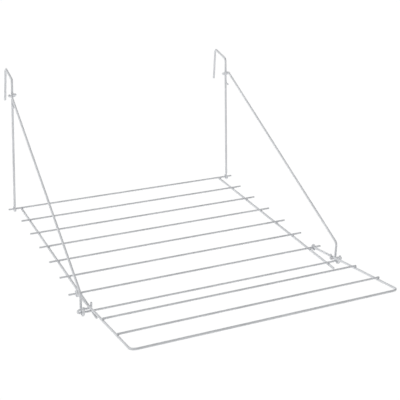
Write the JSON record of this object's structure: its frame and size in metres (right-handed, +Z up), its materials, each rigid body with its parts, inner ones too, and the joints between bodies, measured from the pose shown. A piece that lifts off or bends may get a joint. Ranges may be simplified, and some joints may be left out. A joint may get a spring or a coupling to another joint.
{
  "type": "hook-on fold-down drying rack",
  "caption": "Wire clothes airer that hooks over a rail or edge; a barred panel folds down on two stays and a barred flap extends it.",
  "frame": {"origin": "midway between the two hooks, in the middle of the hook gap, on the underside of the hook bridges, which is the seat on the rail", "axes": "+X right along the bars, +Y towards the rail and wall, +Z up"},
  "size_m": [0.562, 0.79, 0.3196],
  "materials": {
    "white_coated_steel": "satin white powder coat on steel wire"
  },
  "bodies": {
    "hanging_frame": {"upright_left": "white_coated_steel", "upright_right": "white_coated_steel", "rest_peg_left": "white_coated_steel", "rest_peg_right": "white_coated_steel"},
    "panel": {"main_rail_left": "white_coated_steel", "main_rail_right": "white_coated_steel", "main_bar_0": "white_coated_steel", "main_bar_1": "white_coated_steel", "main_bar_2": "white_coated_steel", "main_bar_3": "white_coated_steel", "main_bar_4": "white_coated_steel", "main_bar_5": "white_coated_steel", "main_bar_6": "white_coated_steel", "main_bar_7": "white_coated_steel"},
    "flap": {"flap_frame": "white_coated_steel", "flap_bar_0": "white_coated_steel", "flap_bar_1": "white_coated_steel"},
    "stay_left": {"stay_left": "white_coated_steel"},
    "stay_right": {"stay_right": "white_coated_steel"}
  },
  "joints": [
    {"name": "panel_fold", "type": "hinge", "parent": "hanging_frame", "child": "panel", "pos_m": [0, -0.0275, -0.30271], "axis": [1, 0, 0], "range_deg": [0, 90]},
    {"name": "flap_fold", "type": "hinge", "parent": "panel", "child": "flap", "pos_m": [0, -0.4595, -0.30271], "axis": [-1, 0, 0], "range_deg": [0, 167.4]},
    {"name": "stay_left_swing", "type": "hinge", "parent": "panel", "child": "stay_left", "pos_m": [-0.2705, -0.5315, -0.30271], "axis": [0.9995, 0, -0.0305], "range_deg": [-29, 0]},
    {"name": "stay_right_swing", "type": "hinge", "parent": "panel", "child": "stay_right", "pos_m": [0.2705, -0.5315, -0.30271], "axis": [0.9995, 0, 0.0305], "range_deg": [-29, 0]}
  ],
  "couplings": [
    {"joint": "stay_left_swing", "follows": "panel_fold", "ratio": -0.30767},
    {"joint": "stay_right_swing", "follows": "panel_fold", "ratio": -0.30767}
  ]
}
